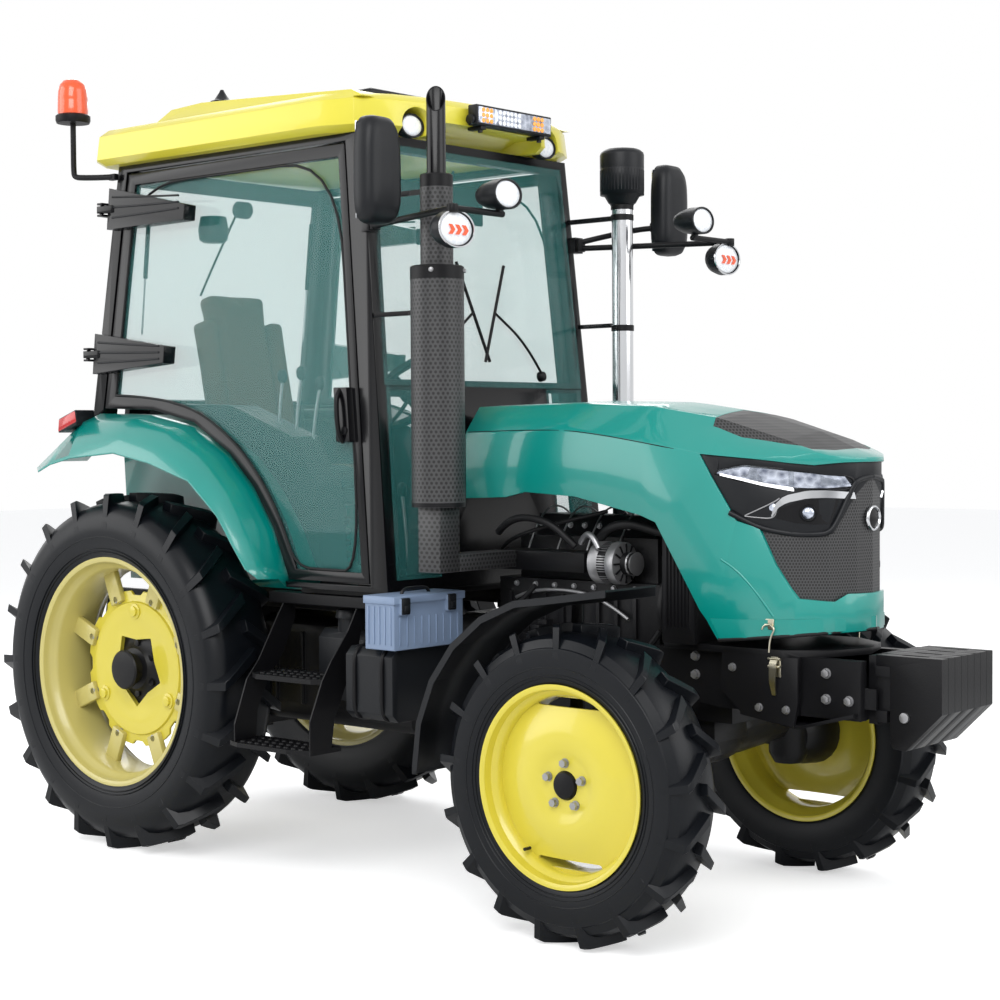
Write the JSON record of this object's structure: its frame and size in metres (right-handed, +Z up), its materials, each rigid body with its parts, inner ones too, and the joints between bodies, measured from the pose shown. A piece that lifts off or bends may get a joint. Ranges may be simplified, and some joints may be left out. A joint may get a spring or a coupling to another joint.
{
  "type": "farm tractor",
  "caption": "Compact four-wheel-drive farm tractor: glazed cab with swinging doors, lifting hood, steered front wheels, lug tyres, nose weights and rear three-point linkage",
  "frame": {"origin": "on the ground, under the middle of the overall length and width", "axes": "+X forward, +Y to the tractor's left, +Z up"},
  "size_m": [4.142, 1.8, 2.9978],
  "materials": {
    "body_paint": "gloss",
    "roof_paint": "gloss",
    "wheel_paint": "gloss",
    "black_paint": "semi-gloss",
    "cast": "satin",
    "black_plastic": "matte",
    "tyre": "matte",
    "glass": "clear",
    "seat_fabric": "matte",
    "steel": "bright",
    "box_plastic": "matte",
    "lamp": "clear",
    "orange": "gloss"
  },
  "bodies": {
    "chassis": {"engine": "cast", "transmission": "cast", "front_support": "black_paint", "radiator": "black_paint", "front_axle": "cast", "front_weights": "cast", "hitch_frame": "black_paint", "cab_frame": "black_paint", "cab_floor": "black_paint", "rear_fenders": "body_paint", "cab_roof": "roof_paint", "cab_glass": "glass", "dashboard": "black_plastic", "seat": "seat_fabric", "side_tanks": "black_plastic", "toolbox": "box_plastic", "steps": "black_paint", "exhaust": "black_paint", "air_intake": "black_plastic", "mirrors": "black_plastic", "lamps": "lamp", "beacon": "orange"},
    "hood": {"hood_shell": "body_paint", "nose_mask": "black_plastic", "nose_grille": "black_plastic", "headlamps": "lamp"},
    "door_right": {"door_right": "black_paint", "door_glass_right": "glass"},
    "door_left": {"door_left": "black_paint", "door_glass_left": "glass"},
    "knuckle_right": {"knuckle_right": "cast", "front_fender_right": "black_plastic"},
    "knuckle_left": {"knuckle_left": "cast", "front_fender_left": "black_plastic"},
    "wheel_rear_right": {"wheel_rear_right": "wheel_paint", "tyre_rear_right": "tyre"},
    "wheel_rear_left": {"wheel_rear_left": "wheel_paint", "tyre_rear_left": "tyre"},
    "wheel_front_right": {"wheel_front_right": "wheel_paint", "tyre_front_right": "tyre"},
    "wheel_front_left": {"wheel_front_left": "wheel_paint", "tyre_front_left": "tyre"},
    "lift_arms": {"lift_arms": "cast"},
    "lift_rods": {"lift_rods": "cast"},
    "lower_links": {"lower_links": "cast"}
  },
  "joints": [
    {"name": "spin_rear_right", "type": "hinge", "parent": "chassis", "child": "wheel_rear_right", "pos_m": [-1.142, -0.615, 0.684], "axis": [0, 1, 0], "continuous": true},
    {"name": "spin_rear_left", "type": "hinge", "parent": "chassis", "child": "wheel_rear_left", "pos_m": [-1.142, 0.615, 0.684], "axis": [0, 1, 0], "continuous": true},
    {"name": "steer_right", "type": "hinge", "parent": "chassis", "child": "knuckle_right", "pos_m": [1.098, -0.53, 0.5], "axis": [0, 0, 1], "range_deg": [-35, 35]},
    {"name": "steer_left", "type": "hinge", "parent": "chassis", "child": "knuckle_left", "pos_m": [1.098, 0.53, 0.5], "axis": [0, 0, 1], "range_deg": [-35, 35]},
    {"name": "spin_front_right", "type": "hinge", "parent": "knuckle_right", "child": "wheel_front_right", "pos_m": [1.098, -0.685, 0.5], "axis": [0, 1, 0], "continuous": true},
    {"name": "spin_front_left", "type": "hinge", "parent": "knuckle_left", "child": "wheel_front_left", "pos_m": [1.098, 0.685, 0.5], "axis": [0, 1, 0], "continuous": true},
    {"name": "door_right_swing", "type": "hinge", "parent": "chassis", "child": "door_right", "pos_m": [-1.354, -0.665, 1.905], "axis": [-0.1385, -0.0266, -0.99], "range_deg": [0, 80]},
    {"name": "door_left_swing", "type": "hinge", "parent": "chassis", "child": "door_left", "pos_m": [-1.354, 0.665, 1.905], "axis": [0.1385, -0.0266, 0.99], "range_deg": [0, 80]},
    {"name": "hood_lift", "type": "hinge", "parent": "chassis", "child": "hood", "pos_m": [0.32, 0, 1.64], "axis": [0, -1, 0], "range_deg": [0, 50]},
    {"name": "link_lift", "type": "hinge", "parent": "chassis", "child": "lower_links", "pos_m": [-1.432, 0, 0.435], "axis": [0, 1, 0], "range_deg": [-10, 28]},
    {"name": "arm_lift", "type": "hinge", "parent": "chassis", "child": "lift_arms", "pos_m": [-1.442, 0, 0.9], "axis": [0, 1, 0], "range_deg": [-12, 33]},
    {"name": "rod_swing", "type": "hinge", "parent": "lift_arms", "child": "lift_rods", "pos_m": [-1.702, 0, 0.925], "axis": [0, 1, 0], "range_deg": [-33, 12]}
  ],
  "couplings": [
    {"joint": "steer_left", "follows": "steer_right", "ratio": 1},
    {"joint": "arm_lift", "follows": "link_lift", "ratio": 1.15},
    {"joint": "rod_swing", "follows": "link_lift", "ratio": -1.15}
  ]
}
